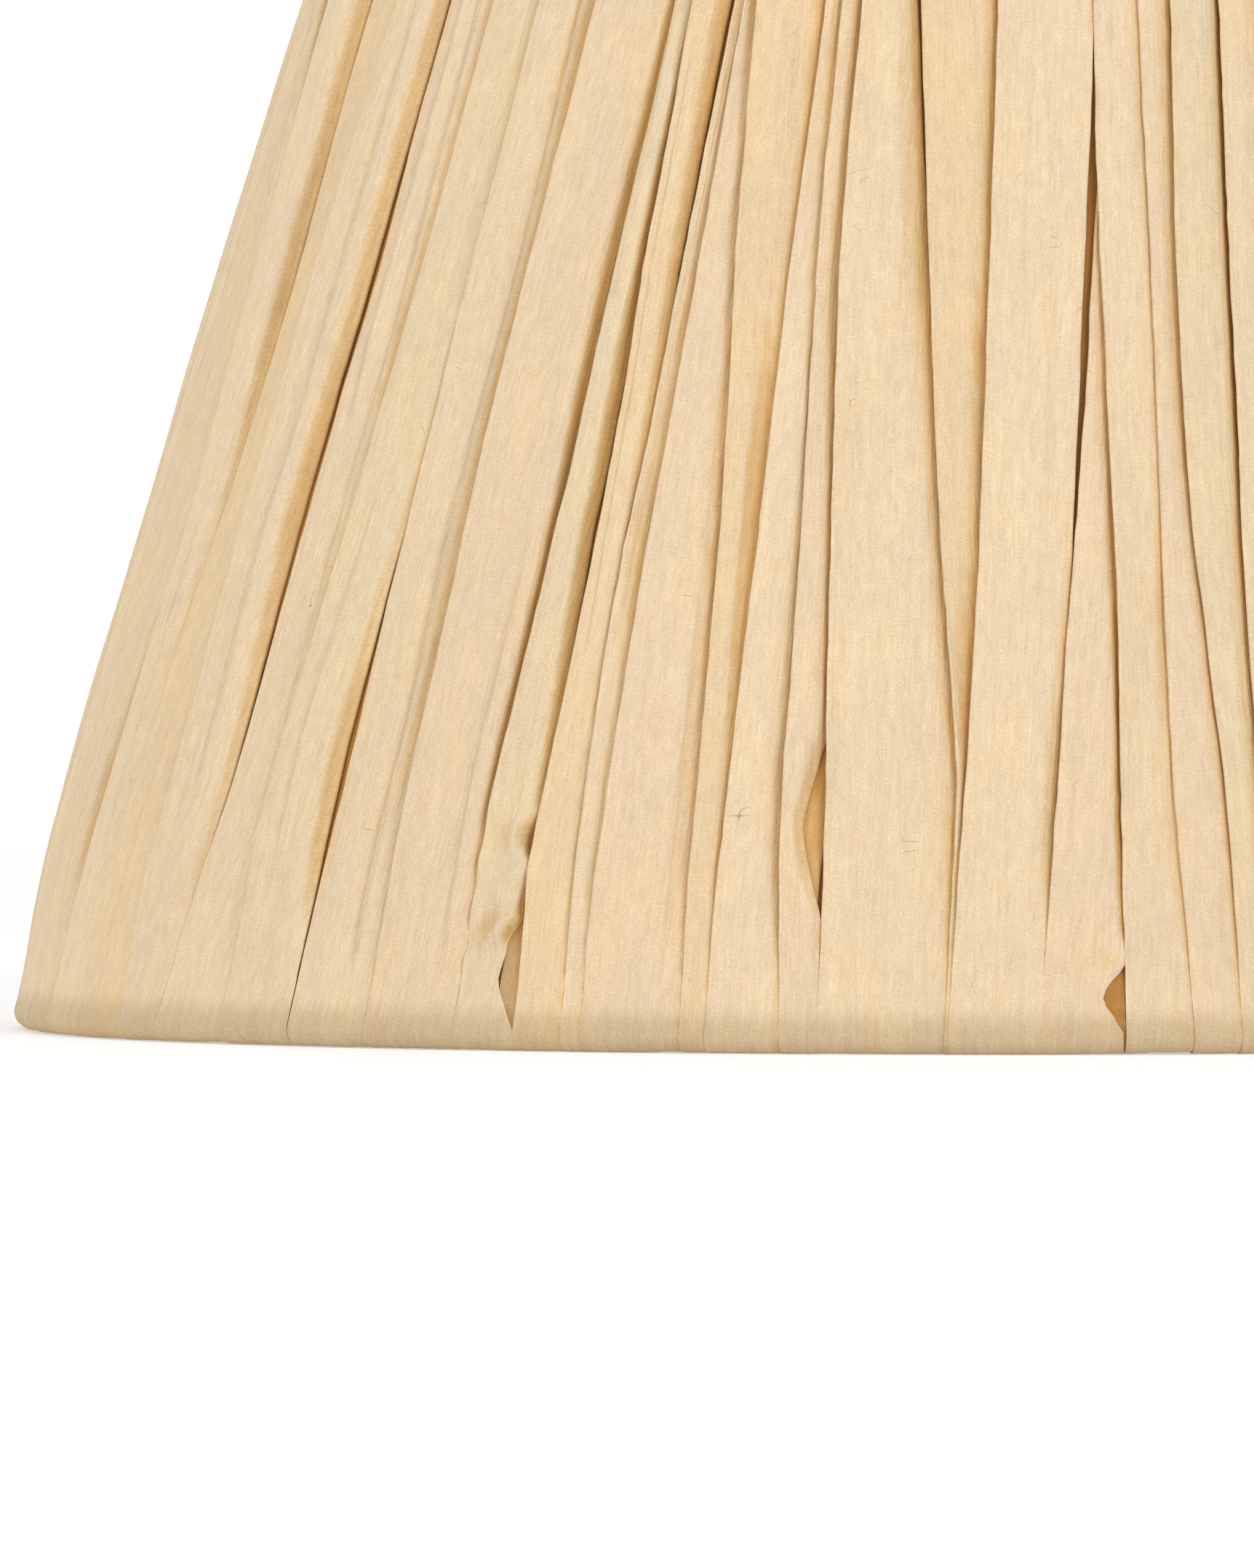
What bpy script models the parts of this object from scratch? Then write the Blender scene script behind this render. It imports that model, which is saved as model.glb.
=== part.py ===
"""An empire lamp shade: paper ribbon wound round a wire frame, with a fitter for the lampholder.

The shade stands on its bottom rim. The origin is on its axis at the height of that rim, and +Z
points up the axis to the narrow end.
"""

import math

import bpy
from mathutils import Matrix, Vector

# Overall sizes, in metres
OVERALL_HEIGHT = 0.255
BOTTOM_DIAMETER = 0.400
TOP_DIAMETER = 0.250
SIDE_BOW = 0.0028  # how far the side swells past a straight line from ring to ring

# Wire frame
RING_WIRE = 0.0045
STRUT_WIRE = 0.0030
STRUTS = 6

# Paper ribbon: each loop stands for the turns laid over one another across its width
PAPER = 0.0009
LOOPS_PER_BAY = 14  # loops between one fitter arm and the next

# Fitter
ARMS = 3
ARM_WIRE = 0.0036
FIRST_ARM = math.radians(90)
SEAT_HEIGHT = 0.045  # underside of the gallery ring's flat face above the rim
GALLERY_HOLE = 0.042
GALLERY_DIAMETER = 0.0564
GALLERY_SHEET = 0.0012
GALLERY_SKIRT = 0.0060
REDUCER_HOLE = 0.0292
REDUCER_FLANGE = 0.0500
REDUCER_SHEET = 0.0020
REDUCER_SPIGOT = 0.0032
EDGE_ROUND = 0.0003

# Clearances
FIT_GAP = 0.0003  # between pieces that touch
ARM_CLEARANCE = 0.0005  # between an arm and the paper it passes through
REDUCER_CLEARANCE = 0.0004  # round the reducer's spigot, in the gallery ring's hole

# Fineness of the round shapes
LOOP_STEPS = 2
LEG_STEPS = 3
LONG_ARC_STEPS = 3
SHORT_ARC_STEPS = 2
STRUT_STEPS = 6
WIRE_SIDES = 8
TURNED_STEPS = 36

# Worked out from the sizes above
LOOPS = ARMS * LOOPS_PER_BAY
LOOP_PITCH = math.tau / LOOPS
WRAP_INSIDE = max(RING_WIRE, STRUT_WIRE) / 2 + FIT_GAP  # from a ring's centre line to the paper
WRAP_OUTSIDE = WRAP_INSIDE + PAPER
BOTTOM_CENTRE = Vector((BOTTOM_DIAMETER / 2 - WRAP_OUTSIDE, WRAP_OUTSIDE))
TOP_CENTRE = Vector((TOP_DIAMETER / 2 - WRAP_OUTSIDE, OVERALL_HEIGHT - WRAP_OUTSIDE))
SEAT_TOP = SEAT_HEIGHT + GALLERY_SHEET
DOWN = -math.pi / 2
UP = math.pi / 2


def clear_scene():
    for thing in list(bpy.data.objects):
        bpy.data.objects.remove(thing, do_unlink=True)


def new_collection(name):
    collection = bpy.data.collections.new(name)
    bpy.context.scene.collection.children.link(collection)
    return collection


def new_material(name, colour, roughness, metallic=0.0):
    material = bpy.data.materials.new(name)
    material.use_nodes = True
    shader = material.node_tree.nodes["Principled BSDF"]
    shader.inputs["Base Color"].default_value = (*colour, 1.0)
    shader.inputs["Roughness"].default_value = roughness
    shader.inputs["Metallic"].default_value = metallic
    return material


def new_object(name, data, collection, material):
    thing = bpy.data.objects.new(name, data)
    if not data.materials:
        data.materials.append(material)
    collection.objects.link(thing)
    return thing


# The side of the shade, as a curve in a plane through the axis: x is the radius, y the height.


def side_point(along):
    """The wire frame's side, from the bottom ring's centre line at 0 to the top ring's at 1."""
    chord = TOP_CENTRE - BOTTOM_CENTRE
    outward = Vector((chord.y, -chord.x)).normalized()
    return BOTTOM_CENTRE + chord * along + outward * (4 * SIDE_BOW * along * (1 - along))


def side_normal(along):
    """The direction out of the side there."""
    chord = TOP_CENTRE - BOTTOM_CENTRE
    outward = Vector((chord.y, -chord.x)).normalized()
    tangent = chord + outward * (4 * SIDE_BOW * (1 - 2 * along))
    return Vector((tangent.y, -tangent.x)).normalized()


def side_angle(along):
    normal = side_normal(along)
    return math.atan2(normal.y, normal.x)


def arc(centre, radius, start, end, steps):
    """Points after the start of an arc, up to and with its end."""
    angles = [start + (end - start) * step / steps for step in range(1, steps + 1)]
    return [centre + radius * Vector((math.cos(angle), math.sin(angle))) for angle in angles]


def ribbon_profile():
    """The ribbon's inner face: down the outside, under the bottom ring, up inside, over the top."""
    legs = [step / LEG_STEPS for step in range(LEG_STEPS + 1)]
    outside = [side_point(u) + side_normal(u) * WRAP_INSIDE for u in reversed(legs)]
    inside = [side_point(u) - side_normal(u) * WRAP_INSIDE for u in legs]
    low, high = side_angle(0), side_angle(1)
    under = arc(BOTTOM_CENTRE, WRAP_INSIDE, low, DOWN, LONG_ARC_STEPS)
    under += arc(BOTTOM_CENTRE, WRAP_INSIDE, DOWN, low - math.pi, SHORT_ARC_STEPS)
    over = arc(TOP_CENTRE, WRAP_INSIDE, high + math.pi, UP, LONG_ARC_STEPS)
    over += arc(TOP_CENTRE, WRAP_INSIDE, UP, high, SHORT_ARC_STEPS)
    return outside + under[:-1] + inside + over[:-1]


def profile_mesh(name, points):
    """A closed outline in the XZ plane, for a Screw modifier to turn about Z."""
    mesh = bpy.data.meshes.new(name)
    count = len(points)
    edges = [(i, (i + 1) % count) for i in range(count)]
    mesh.from_pydata([(p[0], 0, p[1]) for p in points], edges, [])
    return mesh


def turn(thing, angle, steps, full):
    screw = thing.modifiers.new("turn", "SCREW")
    screw.angle = angle
    screw.steps = steps
    screw.render_steps = steps
    screw.use_merge_vertices = full
    screw.merge_threshold = 0.00001
    screw.use_smooth_shade = True
    return screw


def build_ribbons(collection, material):
    """Closed loops of paper ribbon side by side round the frame, from the first arm onwards."""
    mesh = profile_mesh("ribbon", ribbon_profile())
    narrowest = TOP_DIAMETER / 2 - 2 * WRAP_OUTSIDE
    gap_angle = FIT_GAP / narrowest
    ribbons = []
    for index in range(LOOPS):
        ribbon = new_object(f"ribbon_{index + 1:02d}", mesh, collection, material)
        ribbon.rotation_euler.z = FIRST_ARM + index * LOOP_PITCH + gap_angle / 2
        turn(ribbon, LOOP_PITCH - gap_angle, LOOP_STEPS, full=False)
        sheet = ribbon.modifiers.new("paper", "SOLIDIFY")
        sheet.thickness = PAPER
        sheet.offset = 1
        ribbons.append(ribbon)
    return ribbons


def build_ring(name, centre, collection, material):
    bpy.ops.mesh.primitive_torus_add(
        major_radius=centre.x,
        minor_radius=RING_WIRE / 2,
        major_segments=LOOPS * LOOP_STEPS,
        minor_segments=WIRE_SIDES,
        location=(0, 0, centre.y),
        rotation=(0, 0, FIRST_ARM),
    )
    ring = bpy.context.object
    ring.name = name
    ring.data.materials.append(material)
    ring.data.shade_smooth()
    move_to(ring, collection)
    return ring


def move_to(thing, collection):
    for holder in list(thing.users_collection):
        holder.objects.unlink(thing)
    collection.objects.link(thing)


def wire(name, points, thickness, collection, material):
    """A round rod along points, with flat ends."""
    curve = bpy.data.curves.new(name, "CURVE")
    curve.dimensions = "3D"
    curve.bevel_depth = thickness / 2
    curve.bevel_resolution = 2
    curve.use_fill_caps = True
    spline = curve.splines.new("POLY")
    spline.points.add(len(points) - 1)
    for point, place in zip(spline.points, points):
        point.co = (*place, 1)
    return new_object(name, curve, collection, material)


def build_struts(collection, material):
    """Bowed wires between the two layers of paper, from ring to ring, midway between the arms."""
    length = (TOP_CENTRE - BOTTOM_CENTRE).length
    end = (RING_WIRE / 2 + FIT_GAP) / length
    places = [end + (1 - 2 * end) * step / STRUT_STEPS for step in range(STRUT_STEPS + 1)]
    points = [(side_point(u).x, 0, side_point(u).y) for u in places]
    for index in range(STRUTS):
        strut = wire(f"strut_{index + 1}", points, STRUT_WIRE, collection, material)
        strut.rotation_euler.z = FIRST_ARM + (index + 0.5) * math.tau / STRUTS


def arm_ends():
    """Where an arm's middle line meets the bottom ring and the gallery ring's skirt."""
    ring_end = Vector((BOTTOM_CENTRE.x - RING_WIRE / 2 - FIT_GAP, 0, BOTTOM_CENTRE.y))
    skirt_middle = SEAT_TOP - GALLERY_SKIRT / 2
    gallery_end = Vector((GALLERY_DIAMETER / 2 + FIT_GAP, 0, skirt_middle))
    slope = (gallery_end - ring_end).normalized()
    tilt = abs(slope.z) * ARM_WIRE / 2  # what a square-cut end of a sloping rod reaches past its middle
    return ring_end + slope * tilt, gallery_end - slope * tilt


def build_arms(collection, material, cutters):
    """Straight rods up from the bottom ring to the gallery ring, and the holes they need in the paper."""
    low, high = arm_ends()
    slope = (high - low).normalized()
    reach = WRAP_OUTSIDE + ARM_WIRE
    holes = []
    for index in range(ARMS):
        angle = FIRST_ARM + index * math.tau / ARMS
        arm = wire(f"fitter_arm_{index + 1}", [low, high], ARM_WIRE, collection, material)
        arm.rotation_euler.z = angle
        bpy.ops.mesh.primitive_cylinder_add(
            radius=ARM_WIRE / 2 + ARM_CLEARANCE, depth=2 * reach, vertices=WIRE_SIDES * 2
        )
        hole = bpy.context.object
        hole.name = f"arm_hole_{index + 1}"
        middle = Matrix.Translation(low + slope * (reach - RING_WIRE / 2))
        along_arm = slope.to_track_quat("Z", "Y").to_matrix().to_4x4()
        hole.matrix_world = Matrix.Rotation(angle, 4, "Z") @ middle @ along_arm
        hole.hide_render = True
        hole.display_type = "WIRE"
        move_to(hole, cutters)
        holes.append(hole)
    return holes


def cut_arm_holes(ribbons, holes):
    """Each arm passes between two loops, so both give way to it."""
    for index, hole in enumerate(holes):
        after = index * LOOPS_PER_BAY
        for ribbon in (ribbons[after], ribbons[after - 1]):
            cut = ribbon.modifiers.new("arm hole", "BOOLEAN")
            cut.operation = "DIFFERENCE"
            cut.solver = "EXACT"
            cut.object = hole


def build_turned(name, points, collection, material):
    """A ring turned from an outline that runs down its outer side."""
    ring = new_object(name, profile_mesh(name, points), collection, material)
    turn(ring, math.tau, TURNED_STEPS, full=True)
    edges = ring.modifiers.new("edges", "BEVEL")
    edges.width = EDGE_ROUND
    edges.segments = 1
    edges.limit_method = "ANGLE"
    edges.angle_limit = math.radians(40)
    return ring


def build_gallery_ring(collection, material):
    """A pressed steel washer with a skirt, where the arms end and the lampholder is clamped."""
    outer, hole = GALLERY_DIAMETER / 2, GALLERY_HOLE / 2
    low = SEAT_TOP - GALLERY_SKIRT
    points = [
        (outer, SEAT_TOP),
        (outer, low),
        (outer - GALLERY_SHEET, low),
        (outer - GALLERY_SHEET, SEAT_HEIGHT),
        (hole, SEAT_HEIGHT),
        (hole, SEAT_TOP),
    ]
    return build_turned("gallery_ring", points, collection, material)


def build_reducer_ring(collection, material):
    """A loose plastic ring that drops into the gallery ring to fit a narrower lampholder."""
    hole = REDUCER_HOLE / 2
    spigot = GALLERY_HOLE / 2 - REDUCER_CLEARANCE
    flange = REDUCER_FLANGE / 2
    low = FIT_GAP
    points = [
        (flange, low + REDUCER_SHEET),
        (flange, low),
        (spigot, low),
        (spigot, low - REDUCER_SPIGOT),
        (hole, low - REDUCER_SPIGOT),
        (hole, low + REDUCER_SHEET),
    ]
    ring = build_turned("reducer_ring", points, collection, material)
    ring.location.z = SEAT_TOP
    return ring


def main():
    clear_scene()
    shade = new_collection("lamp_shade")
    cutters = new_collection("cutters")
    paper = new_material("raffia_paper", (0.80, 0.66, 0.46), 0.85)
    steel = new_material("coated_steel", (0.86, 0.85, 0.82), 0.45)
    plastic = new_material("white_plastic", (0.90, 0.89, 0.86), 0.40)

    ribbons = build_ribbons(shade, paper)
    build_ring("bottom_ring", BOTTOM_CENTRE, shade, steel)
    build_ring("top_ring", TOP_CENTRE, shade, steel)
    build_struts(shade, steel)
    holes = build_arms(shade, steel, cutters)
    cut_arm_holes(ribbons, holes)
    build_gallery_ring(shade, steel)
    build_reducer_ring(shade, plastic)


main()
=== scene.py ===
"""The lamp shade's looks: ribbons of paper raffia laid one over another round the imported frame."""

import math
from collections import namedtuple

import bpy
import numpy as np
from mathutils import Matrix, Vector


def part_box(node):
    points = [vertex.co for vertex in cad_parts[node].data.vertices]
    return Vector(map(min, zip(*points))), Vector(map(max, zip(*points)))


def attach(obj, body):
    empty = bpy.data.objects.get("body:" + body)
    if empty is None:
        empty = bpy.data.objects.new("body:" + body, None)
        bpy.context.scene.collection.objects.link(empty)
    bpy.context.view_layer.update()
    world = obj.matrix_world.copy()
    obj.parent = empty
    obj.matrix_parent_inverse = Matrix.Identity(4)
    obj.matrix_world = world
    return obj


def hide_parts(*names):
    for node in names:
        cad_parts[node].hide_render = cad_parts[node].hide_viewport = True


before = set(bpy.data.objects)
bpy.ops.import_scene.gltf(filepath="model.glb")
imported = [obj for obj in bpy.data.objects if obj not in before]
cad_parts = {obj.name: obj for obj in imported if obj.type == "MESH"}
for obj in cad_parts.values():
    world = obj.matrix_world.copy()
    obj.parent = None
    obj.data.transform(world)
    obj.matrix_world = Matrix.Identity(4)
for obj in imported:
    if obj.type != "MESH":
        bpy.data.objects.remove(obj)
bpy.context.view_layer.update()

# The ribbon's course round the two rings, in metres
FIT_GAP = 0.0003
SIDE_BOW = 0.0028
MID_SINK = 0.0010  # how far the taut paper lies inside the rings' own thickness, halfway up
OUTER_ROWS = 98
LOW_ROWS = 30  # of those, the ones in the lowest LOW_PART of the side, where the paper is crumpled
LOW_PART = 0.18
INNER_ROWS = 32
ARC_ROWS = 9
RIM_HOLD = 0.036  # the length over which a ribbon is drawn flat near a ring
RIM_PRESS = 0.0009  # the most that the layers stand above the wrap where a ring presses them
PRESS_SCALE = 0.0006  # the height of layers at which the press begins to tell
PRESSED_END = 0.002  # how far from a ring the press stays full, and then over what length it fades
PRESSED_FADE = 0.016
TOP_GATHER = 0.30  # the share of its width that a ribbon loses between the bottom ring and the top one

# The ribbon itself, gathered lengthwise into a soft flat tube, in metres
PAPER = 0.00045
GATHERED = 0.00100
THINNEST = 0.8  # the least height of a ribbon over what is under it, as a share of PAPER
ROLL = 0.0022  # how far a raised edge's ridge reaches into the ribbon
SHOULDER = 0.0018  # how far in from its right edge a puffed ribbon reaches its full height
DIVE = 0.0048  # how far before the next ribbon's raised edge a ribbon starts to dive under it
DIVE_SHARE = 0.75  # how deep it dives, as a share of that edge's lift
OVERLAP = 0.004
CROWN = 0.00050
STRAY = ((0.00030, 0.045), (0.00007, 0.004))  # how far its edges stray, and over what length
HALF_ROUND = ((0.15, 0.35), (0.50, 0.50), (0.85, 0.35))  # down and out, round an edge, in thicknesses

# Folds and ridges along the ribbon, in metres where nothing else is said
COLUMNS = 6  # in each third, between two pleats
LOWER_COLUMNS = [19, 17, 15, 12, 9, 6, 2, 0]  # those of the upper face that the lower face keeps
SEEN = (0.0002, 0.0008)  # how far past the next ribbon's edge the columns go on, and what is left beyond
LEAST_SEEN = 0.3  # of the width, where the next ribbon covers nearly all of it
CREASE = 0.00010
CREASE_DRIFT = 0.05  # of half the ribbon's width
CREASE_DIP = (0.6, 0.0014)  # the hollow on a pleat's left: its depth as a share of the pleat, its reach
PLEAT_FADE = 30  # mm of height over which a pleat runs out
RIDGES = (0.0032, 0.0055, 0.009, 0.014)  # wavelengths across
RIDGE_RISE = 0.018  # of the wavelength
RIDGE_DRIFT = 2.2  # radians
PUCKER = 0.00020  # wrinkles where a ring holds the ribbon
CRUSH_CREASES = 5
CRUSH_BASE = 0.3  # how much a crushed patch bulges, as a share of its depth
CRUSH_EDGE = 0.002  # how far in a crushed edge pulls the paper sideways

# The record of how high the paper already stands, in steps round the whole shade
COMPASS = 4800

FIRST_NODE = 180.0  # azimuth in degrees at which ribbon_01 starts

SEED = 11
REST = 56  # ribbons round the sides and the back
REST_PITCH = 4.3  # degrees between the outermost of FRONT and the first of these
REST_JITTER = 1.5  # degrees
REST_LEAN = (0.6, 1.3, 0.35)  # how much of it the next ribbon keeps, the most degrees it adds, unevenness
REST_WIDTH = (18, 24)  # mm
REST_LIFTS = ([0.1, 0.3, 0.7, 1.2, 1.8], [0.30, 0.30, 0.20, 0.14, 0.06])  # mm, and how often
REST_RIM_LIFT = 0.7  # mm, the most at the rim
REST_SHADES = (["cream", "straw", "pink", "green", "grey"], [0.42, 0.18, 0.22, 0.13, 0.05])
PLEATS = [0.0, 0.3, 0.6, 1.0]  # mm
PLEAT_CHANCES = [0.45, 0.36, 0.14, 0.05]
CALM_CHANCES = [0.92, 0.08, 0.0, 0.0]
CALM_FROM = -34  # degrees: ribbons of FRONT from here to the right lie flatter
CALM_RIDGES = 0.4  # of the ridges' rise elsewhere
OPENING_FADE = 0.002  # metres over which a ribbon's width gives way to an opening beside it
POCKET_SHAPE = 1.3  # 1 is a diamond, and more is rounder
PATTERN_SHIFT = (0.037, 0.113)  # metres between one ribbon's place in the paper's pattern and the next's

# Heights above the rim, in mm, at which the ribbons seen from the front are placed
LEVELS = (0, 50, 100, 150, 200)

# Ribbons seen from the front, in the order they are laid, each partly over the one before.
# edge: azimuth of the left edge at each level in degrees; 0 faces the camera, positive is to the right.
# width: mm at the rim, and more where the next ribbon starts farther off. lift, right_lift: mm that an
# edge stands up at each level. channel: mm left open before the next ribbon's edge at each level, where
# it isn't 0. puff: mm that the whole ribbon stands up, falling away at its right in a round shoulder.
# thin: a flat ribbon of an under layer, seen only through the channels. crumple: the lowest and highest
# height in mm of a crushed patch at the ribbon's right side, its width across in mm, and its depth in mm.
# pocket: the middle height and half the height in mm of an opening before the next ribbon, and its width.
NONE = (0,) * len(LEVELS)
Strip = namedtuple("Strip", "edge width lift shade right_lift channel puff thin crumple pocket",
                   defaults=(NONE, NONE, NONE, False, None, None))
FRONT = [
    Strip((-74.5, -73.0, -71.5, -71.0, -72.0), 24, NONE, "straw", thin=True),
    Strip((-68.0, -67.0, -66.0, -65.0, -65.0), 24, NONE, "straw", thin=True),
    Strip((-60.0, -56.0, -55.5, -54.5, -53.5), 24, NONE, "straw", thin=True),
    Strip((-47.5, -46.5, -45.5, -44.5, -43.0), 26, NONE, "straw", thin=True),
    Strip((-36.0, -35.0, -33.0, -32.0, -30.5), 30, NONE, "straw", thin=True),
    Strip((-29.5, -29.0, -28.0, -27.0, -26.0), 26, NONE, "straw", thin=True),
    Strip((-15.0, -15.0, -15.0, -15.0, -15.0), 30, NONE, "straw", thin=True),
    Strip((-7.0, -6.5, -7.5, -8.5, -9.5), 26, NONE, "straw", thin=True),
    Strip((-1.0, 0.0, 1.0, 2.0, 3.0), 24, NONE, "straw", thin=True),
    Strip((11.0, 11.0, 11.5, 12.0, 13.0), 24, NONE, "straw", thin=True),
    Strip((-92.0, -91.5, -91.0, -90.5, -90.0), 22, (0.1, 0.2, 0.2, 0.3, 0.3), "cream"),
    Strip((-87.0, -86.6, -86.0, -85.3, -84.5), 20, (0.1, 0.3, 0.3, 0.3, 0.3), "grey"),
    Strip((-82.5, -81.8, -81.0, -80.0, -79.0), 22, (0.1, 0.3, 0.3, 0.3, 0.3), "cream"),
    Strip((-77.0, -76.0, -75.0, -74.4, -74.0), 22, (0.1, 0.3, 0.3, 0.3, 0.3), "pink",
          channel=(0.3, 2.0, 0.3, 0.3, 2.6), puff=(0, 1.8, 0.3, 0.5, 2.4)),
    Strip((-71.6, -69.8, -68.0, -67.3, -68.4), 21, (0.1, 0.3, 0.3, 0.3, 0.3), "cream",
          channel=(0, 0, 0.3, 2.4, 2.6), puff=(0, 0.3, 0.6, 2.4, 2.6)),
    Strip((-66.0, -64.4, -62.7, -61.5, -61.3), 20, (0.1, 0.3, 0.3, 0.4, 0.4), "straw"),
    Strip((-60.6, -58.6, -57.4, -56.4, -55.4), 22, (0.1, 0.2, 0.2, 0.2, 0.2), "cream",
          channel=(0.3, 1.8, 3.2, 2.6, 2.0), puff=(0.3, 1.6, 2.6, 2.2, 1.8)),
    Strip((-56.1, -52.7, -51.8, -50.4, -49.6), 23, (0.1, 0.3, 0.3, 0.3, 0.2), "cream"),
    Strip((-49.8, -47.6, -46.3, -45.0, -44.0), 22, (0.1, 0.2, 0.2, 0.2, 0.3), "green",
          channel=(0.3, 3.0, 1.2, 0, 0), puff=(0.3, 2.4, 1.0, 0.3, 0.3)),
    Strip((-43.9, -42.5, -41.8, -40.3, -39.0), 22, (0.1, 0.3, 0.2, 0.2, 0.3), "cream"),
    Strip((-38.2, -37.0, -36.0, -34.6, -33.2), 22, (0.1, 0.2, 0.2, 0.2, 0.2), "pink",
          channel=(0.3, 1.6, 2.2, 2.0, 1.4), puff=(0.3, 1.4, 1.9, 1.8, 1.4)),
    Strip((-32.2, -31.0, -29.0, -27.9, -26.2), 20, (0.1, 0.4, 0.4, 0.4, 0.4), "green",
          channel=(0.3, 0.8, 1.8, 1.8, 0.3), puff=(0.3, 1.2, 1.8, 1.8, 0.8),
          crumple=(14, 44, 10, 1.6), pocket=(14, 17, 5.0)),
    Strip((-28.3, -27.7, -26.4, -25.4, -24.1), 18, (0.4, 0.9, 0.7, 0.6, 0.6), "straw",
          channel=(0, 0, 0.6, 1.4, 2.2), puff=(0.2, 0.4, 0.8, 1.0, 1.2)),
    Strip((-25.4, -25.0, -24.3, -22.9, -21.1), 18, (0.1, 0.3, 0.9, 1.6, 1.9), "cream"),
    Strip((-24.3, -23.5, -22.6, -21.5, -20.2), 18, (0.2, 0.5, 0.6, 0.3, 0.3), "pink"),
    Strip((-18.5, -18.3, -18.3, -18.7, -18.8), 17, (0.2, 0.5, 0.8, 0.9, 1.1), "straw"),
    Strip((-17.1, -16.5, -15.7, -15.0, -13.8), 19, (0.2, 0.5, 0.6, 0.6, 0.9), "cream"),
    Strip((-12.9, -13.2, -13.0, -13.0, -12.4), 14, (0.2, 0.3, 0.3, 0.2, 0.2), "pink",
          channel=(0.3, 0.6, 0.5, 0, 1.0), puff=(0.3, 0.8, 0.3, 0, 0), pocket=(42, 30, 4.8)),
    Strip((-10.9, -10.8, -11.2, -11.5, -10.8), 26, (0.6, 1.4, 0.8, 1.0, 1.1), "cream",
          channel=(0, 0.2, 0.6, 1.2, 2.0)),
    Strip((-4.1, -3.2, -4.5, -5.4, -6.3), 22, (0.2, 0.8, 1.2, 1.3, 1.3), "straw"),
    Strip((1.0, 2.2, 4.0, 5.8, 8.5), 22, (0.1, 0.2, 0.3, 0.3, 0.3), "pink",
          channel=(0.3, 1.4, 0, 0, 0), puff=(0.3, 1.4, 0.5, 0, 0), crumple=(2, 20, 8, 1.6),
          pocket=(10, 14, 2.6)),
    Strip((-3.9, -2.9, -2.1, -1.3, -0.5), 18, (0.3, 0.8, 1.0, 1.2, 1.1), "cream",
          right_lift=(0.1, 0.3, 0.8, 0.8, 0.7), channel=(0.3, 0.3, 1.8, 2.5, 4.7)),
    Strip((5.7, 6.0, 6.1, 6.4, 6.8), 18, (0.5, 1.2, 0.9, 0.7, 0.6), "cream"),
    Strip((9.5, 9.0, 9.2, 9.6, 10.0), 17, NONE, "pink"),
    Strip((12.1, 11.9, 11.0, 11.2, 12.4), 18, (0.1, 0.2, 0.2, 0.2, 0.2), "green",
          puff=(0, 0, 0.3, 0.5, 0.6)),
    Strip((13.8, 14.0, 14.3, 15.2, 16.5), 20, (0.1, 0.3, 0.4, 0.5, 0.5), "cream"),
    Strip((18.5, 18.8, 19.2, 19.8, 20.5), 20, (0.3, 0.8, 1.0, 1.2, 1.0), "pink"),
    Strip((23.0, 23.2, 23.7, 24.2, 25.0), 21, (0.3, 0.6, 0.8, 0.8, 0.8), "cream"),
]

SHADES = {
    "cream": (1.00, 1.00, 1.00),
    "straw": (0.995, 0.965, 0.895),
    "pink": (0.985, 0.970, 0.965),
    "green": (0.975, 0.985, 0.965),
    "grey": (0.945, 0.945, 0.935),
    # painted shade: the under layer's ribbons, seen only down in the channels, are given this darker tone
    "deep": (0.680, 0.580, 0.440),
}

# Painted shade: how a point's surroundings darken and warm the paper's colour, in its folds and where it
# turns under a ring
# painted shade in folds: the darker, warmer colour that stands in for the shade and the light coming
# through the paper deep in a fold
PAINTED_FOLD_SHADE = np.array([0.86, 0.59, 0.27])  # deep in a fold, where light comes through paper
PAINTED_SHADE_RANGE = (0.12, 0.82)  # the share of the sky that is hidden where a fold's tint starts and is full
LOOK_OUT = (0.0006, 0.0012, 0.0024, 0.0045)  # metres to each side
LEAST_STEP = 0.0001  # metres
# painted shade under a ring: how much darker the paper is painted where it turns under the ring
PAINTED_RIM_SHADE = np.array([0.22, 0.24, 0.30])  # what the paper loses where it turns under a ring
RIM_BAND = 0.006  # metres


# ---------------------------------------------------------------- the ribbon's course


def ring_centre(node):
    """Radius and height of a ring's wire centre, and half the wire's thickness."""
    low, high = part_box(node)
    half = (high[2] - low[2]) / 2
    return np.array([(high[0] - low[0]) / 2 - half, (high[2] + low[2]) / 2]), half


def smooth(x):
    x = np.clip(x, 0, 1)
    return x * x * (3 - 2 * x)


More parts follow.
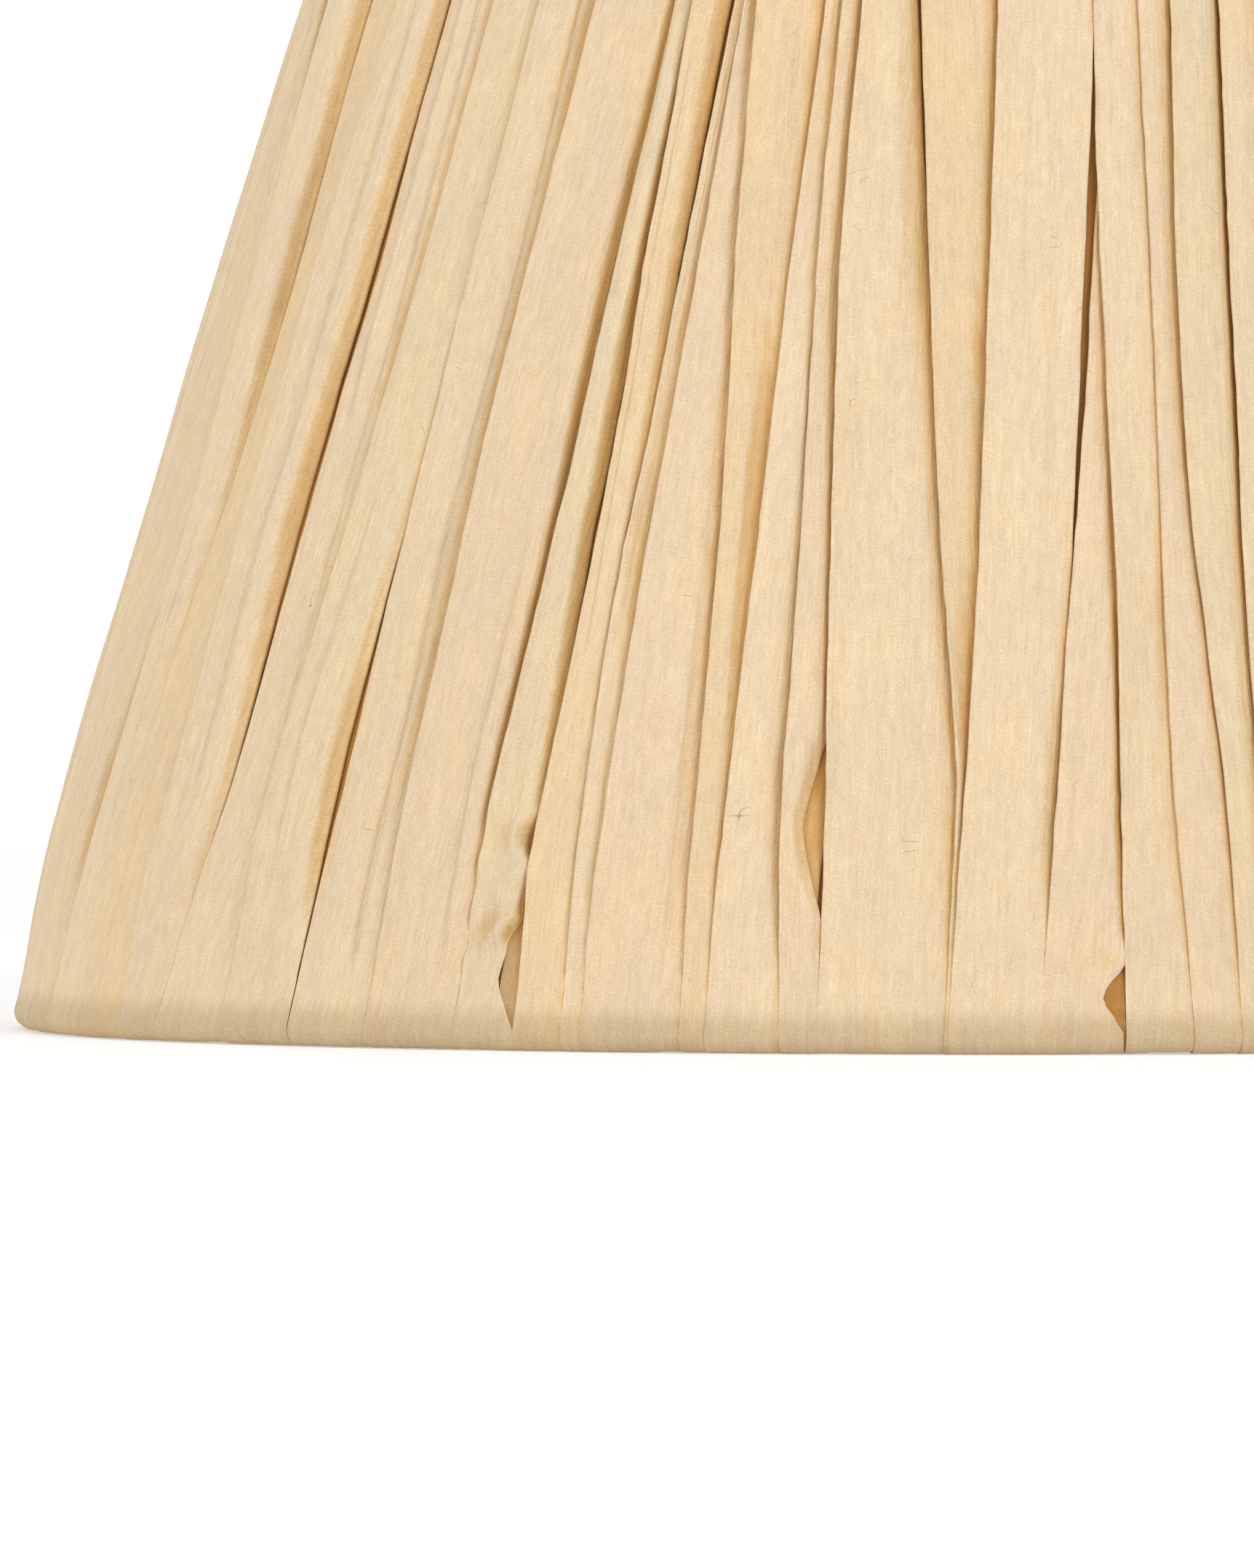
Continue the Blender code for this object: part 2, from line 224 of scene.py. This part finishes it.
class Course:
    """Rows along one turn of ribbon: down the outside, round the bottom ring, up inside, round the top."""

    def __init__(self):
        bottom, half = ring_centre("bottom_ring")
        top, _ = ring_centre("top_ring")
        chord = top - bottom
        length = np.linalg.norm(chord)
        outward = np.array([chord[1], -chord[0]]) / length
        wrap = half + FIT_GAP

        def leg(along, side):
            bow = 4 * SIDE_BOW * along * (1 - along)
            middle = bottom + np.outer(along, chord) + np.outer(bow, outward)
            tangent = chord + np.outer(4 * SIDE_BOW * (1 - 2 * along), outward)
            normal = np.stack([tangent[:, 1], -tangent[:, 0]], 1)
            normal /= np.linalg.norm(normal, axis=1)[:, None]
            offset = wrap - MID_SINK * np.sin(math.pi * along) ** 2
            return middle + normal * (side * offset)[:, None], normal * side

        def arc(centre, start, end):
            angle = np.linspace(start, end, ARC_ROWS + 2)[1:-1]
            normal = np.stack([np.cos(angle), np.sin(angle)], 1)
            return centre + normal * wrap, normal

        down = np.append(np.linspace(1, LOW_PART, OUTER_ROWS - LOW_ROWS, endpoint=False),
                         np.linspace(LOW_PART, 0, LOW_ROWS))
        up = np.linspace(0, 1, INNER_ROWS)
        outer, inner = leg(down, 1), leg(up, -1)
        low = math.atan2(*outer[1][-1][::-1])
        high = math.atan2(*outer[1][0][::-1])
        parts = [outer, arc(bottom, low, low - math.pi), inner, arc(top, high + math.pi, high)]
        self.place = np.concatenate([p for p, _ in parts])
        self.normal = np.concatenate([n for _, n in parts])
        self.along = np.concatenate([down, np.zeros(ARC_ROWS), up, np.ones(ARC_ROWS)])
        step = np.linalg.norm(self.place - np.roll(self.place, 1, 0), axis=1)
        step[0] = 0
        self.travel = np.cumsum(step)
        self.length = self.travel[-1] + np.linalg.norm(self.place[0] - self.place[-1])
        self.radius = self.place[:, 0]
        self.height = self.place[:, 1] * 1000
        near = np.minimum(self.along, 1 - self.along) * length
        self.free = smooth(near / RIM_HOLD)
        self.loose = smooth((near - PRESSED_END) / PRESSED_FADE)
        self.thick = PAPER + (GATHERED - PAPER) * self.free
        self.gather = 1 - TOP_GATHER * self.along
        self.rows = len(self.place)

    def pressed(self, heights):
        """Heights above the wrap, held down where a ring presses the layers together."""
        share = self.loose[:, None]
        return heights * share + RIM_PRESS * (1 - np.exp(-heights / PRESS_SCALE)) * (1 - share)


course = Course()


def waves(rng, where, shortest, longest, count=5):
    """A smooth wandering value along a length, roughly from -1 to 1, from a few sine waves."""
    total = np.zeros_like(where)
    for _ in range(count):
        wavelength = math.exp(rng.uniform(math.log(shortest), math.log(longest)))
        total += np.sin(where * math.tau / wavelength + rng.uniform(0, math.tau))
    return total / math.sqrt(count * 2)


def kinked(rng, where, spacing):
    """Straight runs between random points, as a creased paper edge has."""
    knots = [0.0]
    while knots[-1] < course.length:
        knots.append(knots[-1] + spacing * rng.uniform(0.5, 1.6))
    values = rng.normal(size=len(knots))
    values[0] = values[-1] = 0
    return np.interp(where, knots, values)


def at_levels(values, run_on=False):
    """Values set at LEVELS, joined by straight runs with rounded corners, for every row of the course."""
    fine = np.arange(-60.0, 320.0, 2.0)  # mm, from below the bottom ring to above the top one
    line = np.interp(fine, LEVELS, values)
    if run_on:
        line += np.clip(fine - LEVELS[-1], 0, None) * (values[-1] - values[-2]) / (LEVELS[-1] - LEVELS[-2])
    rounding = 9  # steps on each side
    window = np.hanning(2 * rounding + 1)
    line = np.convolve(np.pad(line, rounding, "edge"), window / window.sum(), "valid")
    return np.interp(course.height, fine, line)


# ---------------------------------------------------------------- laying the ribbons

stacked = np.zeros((course.rows, COMPASS))  # how high the paper stands already, row by row


def stack_at(azimuth):
    """The height already laid at each azimuth of each row, by linear interpolation."""
    column = np.mod(azimuth / math.tau, 1) * COMPASS
    left = np.floor(column).astype(int)
    share = column - left
    rows = np.arange(course.rows)[:, None]
    return stacked[rows, left % COMPASS] * (1 - share) + stacked[rows, (left + 1) % COMPASS] * share


def pull_taut(height, lengthwise=26, crosswise=10):
    """Paper pulled tight spans the hollows under it."""
    for _ in range(lengthwise):
        height = np.maximum(height, (np.roll(height, 1, 0) + np.roll(height, -1, 0)) / 2)
    for _ in range(crosswise):
        height[:, 1:-1] = np.maximum(height[:, 1:-1], (height[:, :-2] + height[:, 2:]) / 2)
    return height


def note_height(azimuth, top):
    """Records a laid ribbon's upper face."""
    for row in range(course.rows):
        start = math.floor(azimuth[row, 0] / math.tau * COMPASS)
        end = math.ceil(azimuth[row, -1] / math.tau * COMPASS)
        columns = np.arange(start, end + 1)
        heights = np.interp(columns * math.tau / COMPASS, azimuth[row], top[row], left=0, right=0)
        ring = columns % COMPASS
        stacked[row, ring] = np.maximum(stacked[row, ring], heights)


def random_pleats(rng, calm):
    """Two folds along the ribbon: place across it from -1 to 1, its size, and where it starts and ends."""
    folds = []
    for place in (rng.uniform(-0.62, -0.15), rng.uniform(0.05, 0.60)):
        size = rng.choice(PLEATS, p=CALM_CHANCES if calm else PLEAT_CHANCES)
        centre, half = rng.uniform(0, 255), rng.uniform(40, 150)
        folds.append((place, size, centre - half, centre + half))
    return folds


def crushed(rng, strip, before_end):
    """A crushed patch's heights and its pull on the ribbon's edge, from crossing creases."""
    low, high, reach, depth = strip.crumple
    where = (course.height[:, None] - (low + high) / 2) / (high - low) * 2
    patch = np.exp(-where ** 4) * np.exp(-(np.clip(before_end, 0, None) * 1000 / reach) ** 2)
    patch = patch * (course.normal[:, :1] > 0.5)  # on the outside only
    folds = np.zeros_like(before_end)
    for _ in range(CRUSH_CREASES):
        angle, wavelength = rng.uniform(-0.9, 0.9), rng.uniform(7.0, 14.0)
        run = before_end * 1000 * math.cos(angle) + course.height[:, None] * math.sin(angle)
        folds += 1 - 2 * np.abs(np.sin(run * math.pi / wavelength + rng.uniform(0, math.tau)))
    folds = folds / CRUSH_CREASES ** 0.5
    return patch * (CRUSH_BASE + folds) * depth / 1000, patch[:, -1] * folds[:, -1] * depth / 1000


def columns_across(rng, pleats, seen, width):
    """The pleats' creases, and the distances of the columns from the left edge.

    The columns stand between the two creases, closer together near the ribbon's left edge and the next
    ribbon's, with two more under the next ribbon.
    """
    ease = np.sin(np.linspace(0, 1, COLUMNS) * math.pi / 2)
    even = np.linspace(0, 1, COLUMNS)
    creases = []
    for place, *_ in pleats:
        drift = CREASE_DRIFT * waves(rng, course.travel, 0.08, 0.5)
        creases.append((place + drift + 1) / 2 * seen)
    first, second = creases
    parts = [
        (0 * first, first - CREASE, 1 - ease[::-1]),
        (first + CREASE, second - CREASE, even),
        (second + CREASE, seen, ease),
        (seen, width, np.array([0.5, 1.0])),
    ]
    return creases, np.concatenate([a[:, None] + (b - a)[:, None] * share for a, b, share in parts], 1)


def ridges_along(rng, distance, fluting):
    """Soft ridges along the ribbon, in a few wavelengths that wander."""
    ridges = np.zeros_like(distance)
    for wavelength in RIDGES:
        drift = RIDGE_DRIFT * waves(rng, course.travel, 0.12, 0.6)[:, None]
        strength = (0.6 + 0.6 * waves(rng, course.travel, 0.05, 0.3))[:, None]
        phase = distance * math.tau / (wavelength * rng.uniform(0.8, 1.25)) + drift
        wave = np.sin(phase + rng.uniform(0, math.tau))
        ridges += RIDGE_RISE * fluting * wavelength * strength * wave
    return ridges


def pleats_along(pleats, creases, distance):
    """Each pleat: a fold that stands up on its crease's right, with a dip on its left."""
    depth, reach = CREASE_DIP
    total = np.zeros_like(distance)
    for crease, (_, size, low, high) in zip(creases, pleats):
        past = distance - crease[:, None]
        fold = np.where(past > 0, np.exp(-past / ROLL), -depth * np.exp(past / reach))
        run = smooth((course.height - low) / PLEAT_FADE) * smooth((high - course.height) / PLEAT_FADE)
        total += size / 1000 * run[:, None] * fold
    return total


def lay(rng, strip, edge, width, left_lift, pleats, fluting, next_edge, next_lift):
    """Azimuths, heights and distances across of a ribbon's upper face, over the ones laid before it."""
    travel = course.travel
    right_lift = at_levels(strip.right_lift) / 1000
    thick = np.full(course.rows, PAPER) if strip.thin else course.thick
    wander = sum(far * kinked(rng, travel, over) for far, over in STRAY)
    edge = edge + wander * course.free / course.radius

    beyond, left_over = SEEN
    seen = np.minimum((next_edge - edge) * course.radius + beyond, width - left_over)
    seen = np.maximum(seen, LEAST_SEEN * width)
    creases, distance = columns_across(rng, pleats, seen, width)
    azimuth = edge[:, None] + distance / course.radius[:, None]
    across = distance / width[:, None] * 2 - 1
    from_right = width[:, None] - distance
    before_next = (next_edge[:, None] - azimuth) * course.radius[:, None]
    before_end = np.minimum(before_next, from_right)

    under = pull_taut(stack_at(azimuth))
    crown = CROWN * (1 + 0.6 * waves(rng, travel, 0.05, 0.3))[:, None] * (1 - across ** 2)
    lifts = left_lift[:, None] * np.exp(-distance / ROLL) + right_lift[:, None] * np.exp(-from_right / ROLL)
    folds = ridges_along(rng, distance, fluting) + pleats_along(pleats, creases, distance)
    shoulder = DIVE_SHARE * next_lift[:, None] * smooth(before_end / DIVE)
    shoulder += at_levels(strip.puff)[:, None] / 1000 * smooth(before_end / SHOULDER)
    if strip.thin:
        raised = np.zeros_like(under)
    else:
        raised = (crown + lifts + folds + shoulder) * course.free[:, None]
    if strip.crumple:
        heights, pull = crushed(rng, strip, before_end)
        raised += heights
        azimuth += (pull[:, None] * np.exp(-from_right / CRUSH_EDGE)) / course.radius[:, None]
    pucker = PUCKER * (1 - course.free) * waves(rng, travel, 0.003, 0.012)
    wrinkles = distance * math.tau / rng.uniform(0.003, 0.007)
    raised += pucker[:, None] * np.sin(wrinkles + rng.uniform(0, math.tau))
    top = np.maximum(under + thick[:, None] + raised, under + PAPER * THINNEST)
    note_height(azimuth, top)
    return azimuth, top, distance, thick[:, None]


def painted_fold_shade(azimuth, top):
    """How far each point of the upper face is overshadowed by the paper beside it, from 0 to 1, for the
    painted shade in folds.
    """
    hidden = np.zeros_like(top)
    for side in (-1, 1):
        steepest = np.zeros_like(top)
        for reach in LOOK_OUT:
            beside = stack_at(azimuth + side * reach / course.radius[:, None])
            steepest = np.maximum(steepest, (beside - top - LEAST_STEP) / reach)
        hidden += steepest / np.sqrt(1 + steepest ** 2) / 2
    clear, deep = PAINTED_SHADE_RANGE
    return smooth((hidden - clear) / (deep - clear))


def band_faces(rows, columns):
    """The faces of a band that closes on itself both lengthwise and round its section."""
    row = np.arange(rows)[:, None]
    column = np.arange(columns)[None]
    here = row * columns + column
    ahead = (row + 1) % rows * columns + column
    beside = row * columns + (column + 1) % columns
    corner = (row + 1) % rows * columns + (column + 1) % columns
    return np.stack([here, ahead, corner, beside], -1).reshape(-1, 4)


def paper_place(spread, number):
    """Each face corner's place in the paper's pattern, in metres across and along the ribbon."""
    rows, columns = spread.shape
    row = np.arange(rows)[:, None]
    column = np.arange(columns)[None]
    after = (row + 1) % rows
    along = np.append(course.travel, course.length)
    wide = np.concatenate([spread, spread[:, :1]], 1)
    near, far = wide[row, column], wide[after, column]
    far_beside, near_beside = wide[after, column + 1], wide[row, column + 1]
    u = np.stack([near, far, far_beside, near_beside], -1)
    v = np.stack([along[row], along[row + 1], along[row + 1], along[row]], -1) + np.zeros_like(u)
    shift_u, shift_v = PATTERN_SHIFT
    return np.stack([u + number * shift_u, v + number * shift_v], -1).reshape(-1)


def paper_tone_and_painted_shade(azimuth, top, tone):
    """The colour of each point round its section: the ribbon's own tone, with painted shade in its folds
    and where it turns under a ring.
    """
    # painted shade, strongest where the paper beside a point stands high
    shade = painted_fold_shade(azimuth, top)
    right, left = np.repeat(shade[:, -1:], 3, 1), np.repeat(shade[:, :1], 3, 1)
    shade = np.concatenate([shade, right, shade[:, LOWER_COLUMNS], left], 1)[..., None]
    # painted shade in a band where the paper turns under a ring
    turned_under = smooth((RIM_BAND - course.along * course.length / 2) / RIM_BAND)[:, None, None]
    tint = np.array(tone) * PAINTED_FOLD_SHADE ** shade
    tint = tint * (1 - PAINTED_RIM_SHADE * turned_under)
    return np.concatenate([tint, np.ones_like(tint[..., :1])], -1).reshape(-1)


def ribbon_mesh(name, azimuth, top, distance, thick, tone, number):
    """A thin closed band: upper face, rounded edge, lower face, rounded edge."""
    drop, turn = np.array(HALF_ROUND).T
    outward = turn * thick / course.radius[:, None]
    right = azimuth[:, -1:] + outward
    left = azimuth[:, :1] - outward
    angles = np.concatenate([azimuth, right, azimuth[:, LOWER_COLUMNS], left], 1)
    low = top[:, LOWER_COLUMNS] - thick
    heights = np.concatenate([top, top[:, -1:] - drop * thick, low, top[:, :1] - drop[::-1] * thick], 1)
    heights = course.pressed(heights)
    last, first = np.repeat(distance[:, -1:], 3, 1), np.repeat(distance[:, :1], 3, 1)
    spread = np.concatenate([distance, last, distance[:, LOWER_COLUMNS], first], 1)

    radius = course.place[:, :1] + course.normal[:, :1] * heights
    height = course.place[:, 1:] + course.normal[:, 1:] * heights
    points = np.stack([radius * np.sin(angles), -radius * np.cos(angles), height], -1)
    faces = band_faces(*angles.shape)

    mesh = bpy.data.meshes.new(name)
    mesh.from_pydata(points.reshape(-1, 3).tolist(), [], faces.tolist())
    mesh.polygons.foreach_set("use_smooth", np.ones(len(faces), bool))
    mesh.uv_layers.new(name="ribbon").data.foreach_set("uv", paper_place(spread, number))
    colours = mesh.color_attributes.new("tint", "FLOAT_COLOR", "POINT")
    colours.data.foreach_set("color", paper_tone_and_painted_shade(azimuth, top, tone))
    return mesh


def random_strips(rng, front):
    """The ribbons round the sides and the back, from FRONT's right end round to its left end."""
    first = front[-1].edge[0] + REST_PITCH
    last = 360 + front[0].edge[0] - REST_PITCH
    count = len(LEVELS)
    kept, added, uneven = REST_LEAN
    heights, height_chances = REST_LIFTS
    shades, shade_chances = REST_SHADES
    lean = np.zeros(count)
    strips = []
    for index in range(REST):
        rim = first + (last - first) * index / (REST - 1) + rng.uniform(-REST_JITTER, REST_JITTER)
        lean = kept * lean + rng.uniform(-added, added) * np.linspace(0, 1, count)
        lean += rng.uniform(-uneven, uneven, count)
        lift = rng.choice(heights, count, p=height_chances)
        lift = (np.append(lift[1:], lift[-1]) + lift) / 2
        lift[0] = min(lift[0], REST_RIM_LIFT)
        shade = rng.choice(shades, p=shade_chances)
        strips.append(Strip(tuple(rim + lean), rng.uniform(*REST_WIDTH), tuple(lift), shade))
    return strips


def opening(strip):
    """How far a ribbon stops short of the next one's edge on each row. Below 0, it goes under it."""
    open_by = at_levels([wide or -1000 * OVERLAP for wide in strip.channel]) / 1000
    if strip.pocket:
        middle, half, wide = strip.pocket
        hollow = 1 - np.abs(np.clip((course.height - middle) / half, -1, 1)) ** POCKET_SHAPE
        open_by = np.maximum(open_by, (wide / 1000 + OVERLAP) * hollow - OVERLAP)
    return open_by


def plan_ribbons(rng):
    """Every ribbon in the order it is laid, its left edge and width, and which one comes next round."""
    front = [strip for strip in FRONT if not strip.thin]
    plan = [strip for strip in FRONT if strip.thin] + random_strips(rng, front) + front
    edges = [np.radians(at_levels(strip.edge, run_on=True)) for strip in plan]
    upper = [number for number, strip in enumerate(plan) if not strip.thin]
    upper.sort(key=lambda number: math.fmod(edges[number][OUTER_ROWS // 2] + math.tau, math.tau))
    following = dict(zip(upper, upper[1:] + upper[:1]))
    widths = []
    for here, strip in enumerate(plan):
        width = strip.width / 1000 * course.gather
        if here in following:
            gap = edges[following[here]] - edges[here]
            to_next = (gap - np.round(gap / math.tau) * math.tau) * course.radius
            open_by = opening(strip)
            share = smooth((open_by + OVERLAP) / OPENING_FADE)
            reach = to_next - open_by
            width = np.maximum(width, reach) * (1 - share) + reach * share
        widths.append(width)
    return plan, edges, widths, following


def add_piece(piece, material):
    """Puts a ribbon's piece in the scene with its material, under the shade's body."""
    piece.data.materials.append(material)
    bpy.context.scene.collection.objects.link(piece)
    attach(piece, "shade")


def replace_nodes(pieces):
    """Hides the plain CAD ribbons in place of the pieces, matched to them in their order round the shade.
    """
    nodes = sorted(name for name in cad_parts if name.startswith("ribbon_"))
    pieces.sort(key=lambda pair: (pair[0] - FIRST_NODE) % 360)
    for rank, (_, piece) in enumerate(pieces):
        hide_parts(nodes[rank * len(nodes) // len(pieces)])


def build_ribbons(material):
    rng = np.random.default_rng(SEED)
    plan, edges, widths, following = plan_ribbons(rng)
    lifts = [at_levels(strip.lift) / 1000 for strip in plan]
    laid = []
    for number, strip in enumerate(plan):
        calm = strip in FRONT and strip.edge[2] > CALM_FROM
        after = following.get(number, number)
        turns = np.round((edges[number] - edges[after]) / math.tau) * math.tau
        laid.append(lay(rng, strip, edges[number], widths[number], lifts[number],
                        random_pleats(rng, calm), CALM_RIDGES if calm else 1.0,
                        edges[after] + turns, lifts[after] * (after != number)))

    pieces = []
    for number, (strip, (azimuth, top, distance, thick)) in enumerate(zip(plan, laid)):
        # under-layer ribbons get the darker painted-shade tone
        tone = rng.uniform(0.975, 1.01) * np.array(SHADES["deep" if strip.thin else strip.shade])
        name = f"paper_{number + 1:02d}"
        mesh = ribbon_mesh(name, azimuth, top, distance, thick, tone, number)
        piece = bpy.data.objects.new(name, mesh)
        add_piece(piece, material)
        pieces.append((math.degrees(azimuth[OUTER_ROWS // 2, COLUMNS]), piece))
    replace_nodes(pieces)


# ---------------------------------------------------------------- materials


class Graph:
    """A short way to write a material's nodes."""

    def __init__(self, name):
        self.material = bpy.data.materials.new(name)
        self.material.use_nodes = True
        self.tree = self.material.node_tree
        self.shader = self.tree.nodes["Principled BSDF"]

    def node(self, kind, inputs=None, **settings):
        made = self.tree.nodes.new(kind)
        for key, value in settings.items():
            setattr(made, key, value)
        for key, value in (inputs or {}).items():
            if isinstance(value, bpy.types.NodeSocket):
                self.tree.links.new(value, made.inputs[key])
            else:
                made.inputs[key].default_value = value
        return made

    def maths(self, operation, first, second=0.0):
        return self.node("ShaderNodeMath", {0: first, 1: second}, operation=operation).outputs[0]

    def blend(self, share, first, second, mode="MIX"):
        made = self.node("ShaderNodeMix", {0: share, 6: first, 7: second},
                         data_type="RGBA", blend_type=mode)
        return made.outputs[2]

    def noise(self, vector, scale, size, detail=3.0, roughness=0.55):
        placed = self.node("ShaderNodeMapping", {"Vector": vector, "Scale": scale})
        made = self.node("ShaderNodeTexNoise", {
            "Vector": placed.outputs[0], "Scale": size, "Detail": detail, "Roughness": roughness,
        })
        return made.outputs["Fac"]

    def bump(self, height, strength, distance):
        made = self.node("ShaderNodeBump", {"Strength": strength, "Distance": distance, "Height": height})
        self.tree.links.new(made.outputs[0], self.shader.inputs["Normal"])

    def ramp(self, value, low, high, start=0.0, end=1.0):
        made = self.node("ShaderNodeMapRange", {"Value": value, 1: low, 2: high, 3: start, 4: end})
        return made.outputs[0]


def paper_material():
    """Streaks along the ribbon, blotches, speckles and a few fine hairs, over its tone and the painted
    shade of its place.
    """
    light = (0.895, 0.740, 0.510, 1)
    warm = (0.868, 0.694, 0.450, 1)
    grey = (0.812, 0.676, 0.500, 1)
    blotch = (0.930, 0.905, 0.880, 1)
    streak = (0.900, 0.865, 0.830, 1)
    dot = (0.850, 0.815, 0.780, 1)
    hair_brown = (0.48, 0.31, 0.15, 1)

    g = Graph("raffia_paper_look")
    uv = g.node("ShaderNodeUVMap", uv_map="ribbon").outputs[0]
    tint = g.node("ShaderNodeAttribute", attribute_name="tint").outputs["Color"]
    fine = g.ramp(g.noise(uv, (1900, 110, 1), 1.0, 4), 0.30, 0.70)
    broad = g.ramp(g.noise(uv, (420, 14, 1), 1.0, 3), 0.32, 0.68)
    patches = g.ramp(g.noise(uv, (120, 45, 1), 1.0, 4), 0.38, 0.66)
    mottle = g.ramp(g.noise(uv, (1, 0.45, 1), 620, 4, 0.65), 0.34, 0.66)
    speckle = g.ramp(g.noise(uv, (1, 1, 1), 2300, 2, 0.6), 0.30, 0.70)
    colour = g.blend(broad, light, warm)
    colour = g.blend(g.maths("MULTIPLY", patches, 0.70), colour, grey)
    colour = g.blend(mottle, g.blend(1.0, colour, blotch, "MULTIPLY"), colour)
    colour = g.blend(fine, g.blend(1.0, colour, streak, "MULTIPLY"), colour)
    colour = g.blend(speckle, g.blend(1.0, colour, dot, "MULTIPLY"), colour)

    bent = g.noise(uv, (1, 1, 1), 260, 0)
    hair = g.maths("LESS_THAN", g.maths("ABSOLUTE", g.maths("SUBTRACT", bent, 0.5)), 0.008)
    where = g.ramp(g.noise(uv, (1, 1, 1), 150, 0), 0.78, 0.82)
    colour = g.blend(g.maths("MULTIPLY", hair, where), colour, hair_brown)
    # multiplies in each ribbon's tone and its painted shade
    colour = g.blend(1.0, colour, tint, "MULTIPLY")
    g.tree.links.new(colour, g.shader.inputs["Base Color"])

    g.tree.links.new(g.ramp(fine, 0.0, 1.0, 0.78, 0.92), g.shader.inputs["Roughness"])
    g.shader.inputs["Specular IOR Level"].default_value = 0.22
    relief = g.maths("ADD", g.maths("MULTIPLY", fine, 0.6), g.maths("MULTIPLY", speckle, 0.35))
    relief = g.maths("ADD", relief, g.maths("MULTIPLY", broad, 1.5))
    g.bump(relief, 0.7, 0.00018)
    return g.material


def coated_steel():
    g = Graph("coated_steel_look")
    where = g.node("ShaderNodeTexCoord").outputs["Object"]
    mottle = g.ramp(g.noise(where, (1, 1, 1), 700, 3), 0.3, 0.7)
    colour = g.blend(mottle, (0.80, 0.79, 0.75, 1), (0.86, 0.85, 0.82, 1))
    g.tree.links.new(colour, g.shader.inputs["Base Color"])
    g.tree.links.new(g.ramp(mottle, 0.0, 1.0, 0.38, 0.50), g.shader.inputs["Roughness"])
    peel = g.noise(where, (1, 1, 1), 1600, 2)
    g.bump(peel, 0.25, 0.00008)
    return g.material


def white_plastic():
    g = Graph("white_plastic_look")
    where = g.node("ShaderNodeTexCoord").outputs["Object"]
    cloud = g.ramp(g.noise(where, (1, 1, 1), 90, 2), 0.3, 0.7)
    colour = g.blend(cloud, (0.86, 0.85, 0.81, 1), (0.90, 0.89, 0.86, 1))
    g.tree.links.new(colour, g.shader.inputs["Base Color"])
    grain = g.noise(where, (1, 1, 1), 3500, 2)
    g.tree.links.new(g.ramp(grain, 0.3, 0.7, 0.34, 0.46), g.shader.inputs["Roughness"])
    g.bump(grain, 0.2, 0.00005)
    return g.material


def finish_cad_nodes():
    steel, plastic = coated_steel(), white_plastic()
    for name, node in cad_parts.items():
        if name.startswith("ribbon_"):
            continue
        look = plastic if name == "reducer_ring" else steel
        for held in node.material_slots:
            held.material = look


# ---------------------------------------------------------------- room, light and camera

LIT_POINT = Vector((0, 0, 0.12))
EYE = (-0.0731, -1.9, 0.0504)
LENS_MM = 262.8
SENSOR_MM = 36


def flat_board(name, corners, colour, glow=0.0):
    """A flat board of the studio, not part of the shade."""
    g = Graph(name)
    g.shader.inputs["Base Color"].default_value = (*colour, 1)
    g.shader.inputs["Roughness"].default_value = 0.9
    g.shader.inputs["Specular IOR Level"].default_value = 0.1
    g.shader.inputs["Emission Color"].default_value = (1, 1, 1, 1)
    g.shader.inputs["Emission Strength"].default_value = glow
    mesh = bpy.data.meshes.new(name)
    mesh.from_pydata(corners, [], [(0, 1, 2, 3)])
    mesh.materials.append(g.material)
    board = bpy.data.objects.new(name, mesh)
    bpy.context.scene.collection.objects.link(board)


def build_room():
    reach, far, tall = 14.0, 12.0, 9.0
    flat_board("floor", [(-reach, -reach, 0), (reach, -reach, 0), (reach, far, 0), (-reach, far, 0)],
               (0.62, 0.62, 0.62), 0.38)
    flat_board("backdrop", [(-reach, far, 0), (reach, far, 0), (reach, far, tall), (-reach, far, tall)],
               (0.8, 0.8, 0.8), 1.0)


def add_light(name, place, size, power):
    """A square soft light that faces the middle of the shade."""
    light = bpy.data.lights.new(name, "AREA")
    light.shape = "RECTANGLE"
    light.size = light.size_y = size
    light.energy = power
    lamp = bpy.data.objects.new(name, light)
    bpy.context.scene.collection.objects.link(lamp)
    lamp.location = place
    lamp.rotation_euler = (LIT_POINT - Vector(place)).to_track_quat("-Z", "Y").to_euler()


def build_light():
    world = bpy.data.worlds.new("studio")
    bpy.context.scene.world = world
    world.use_nodes = True
    sky = world.node_tree.nodes["Background"]
    sky.inputs[0].default_value = (1, 1, 1, 1)
    sky.inputs[1].default_value = 0.75
    add_light("key", place=(1.2, -2.0, 1.4), size=0.9, power=23)
    add_light("fill", place=(-2.2, -1.2, 0.8), size=1.2, power=14)
    bpy.context.scene.view_settings.view_transform = "Standard"


def build_camera():
    """Level, a little above the rim and a little to the left of the axis, with a long lens."""
    camera = bpy.data.cameras.new("camera")
    camera.sensor_fit = "HORIZONTAL"
    camera.sensor_width = SENSOR_MM
    camera.lens = LENS_MM
    camera.clip_end = 100
    eye = bpy.data.objects.new("camera", camera)
    bpy.context.scene.collection.objects.link(eye)
    eye.location = EYE
    eye.rotation_euler = (math.radians(90), 0, 0)
    bpy.context.scene.camera = eye


build_camera()
build_ribbons(paper_material())
finish_cad_nodes()
build_room()
build_light()
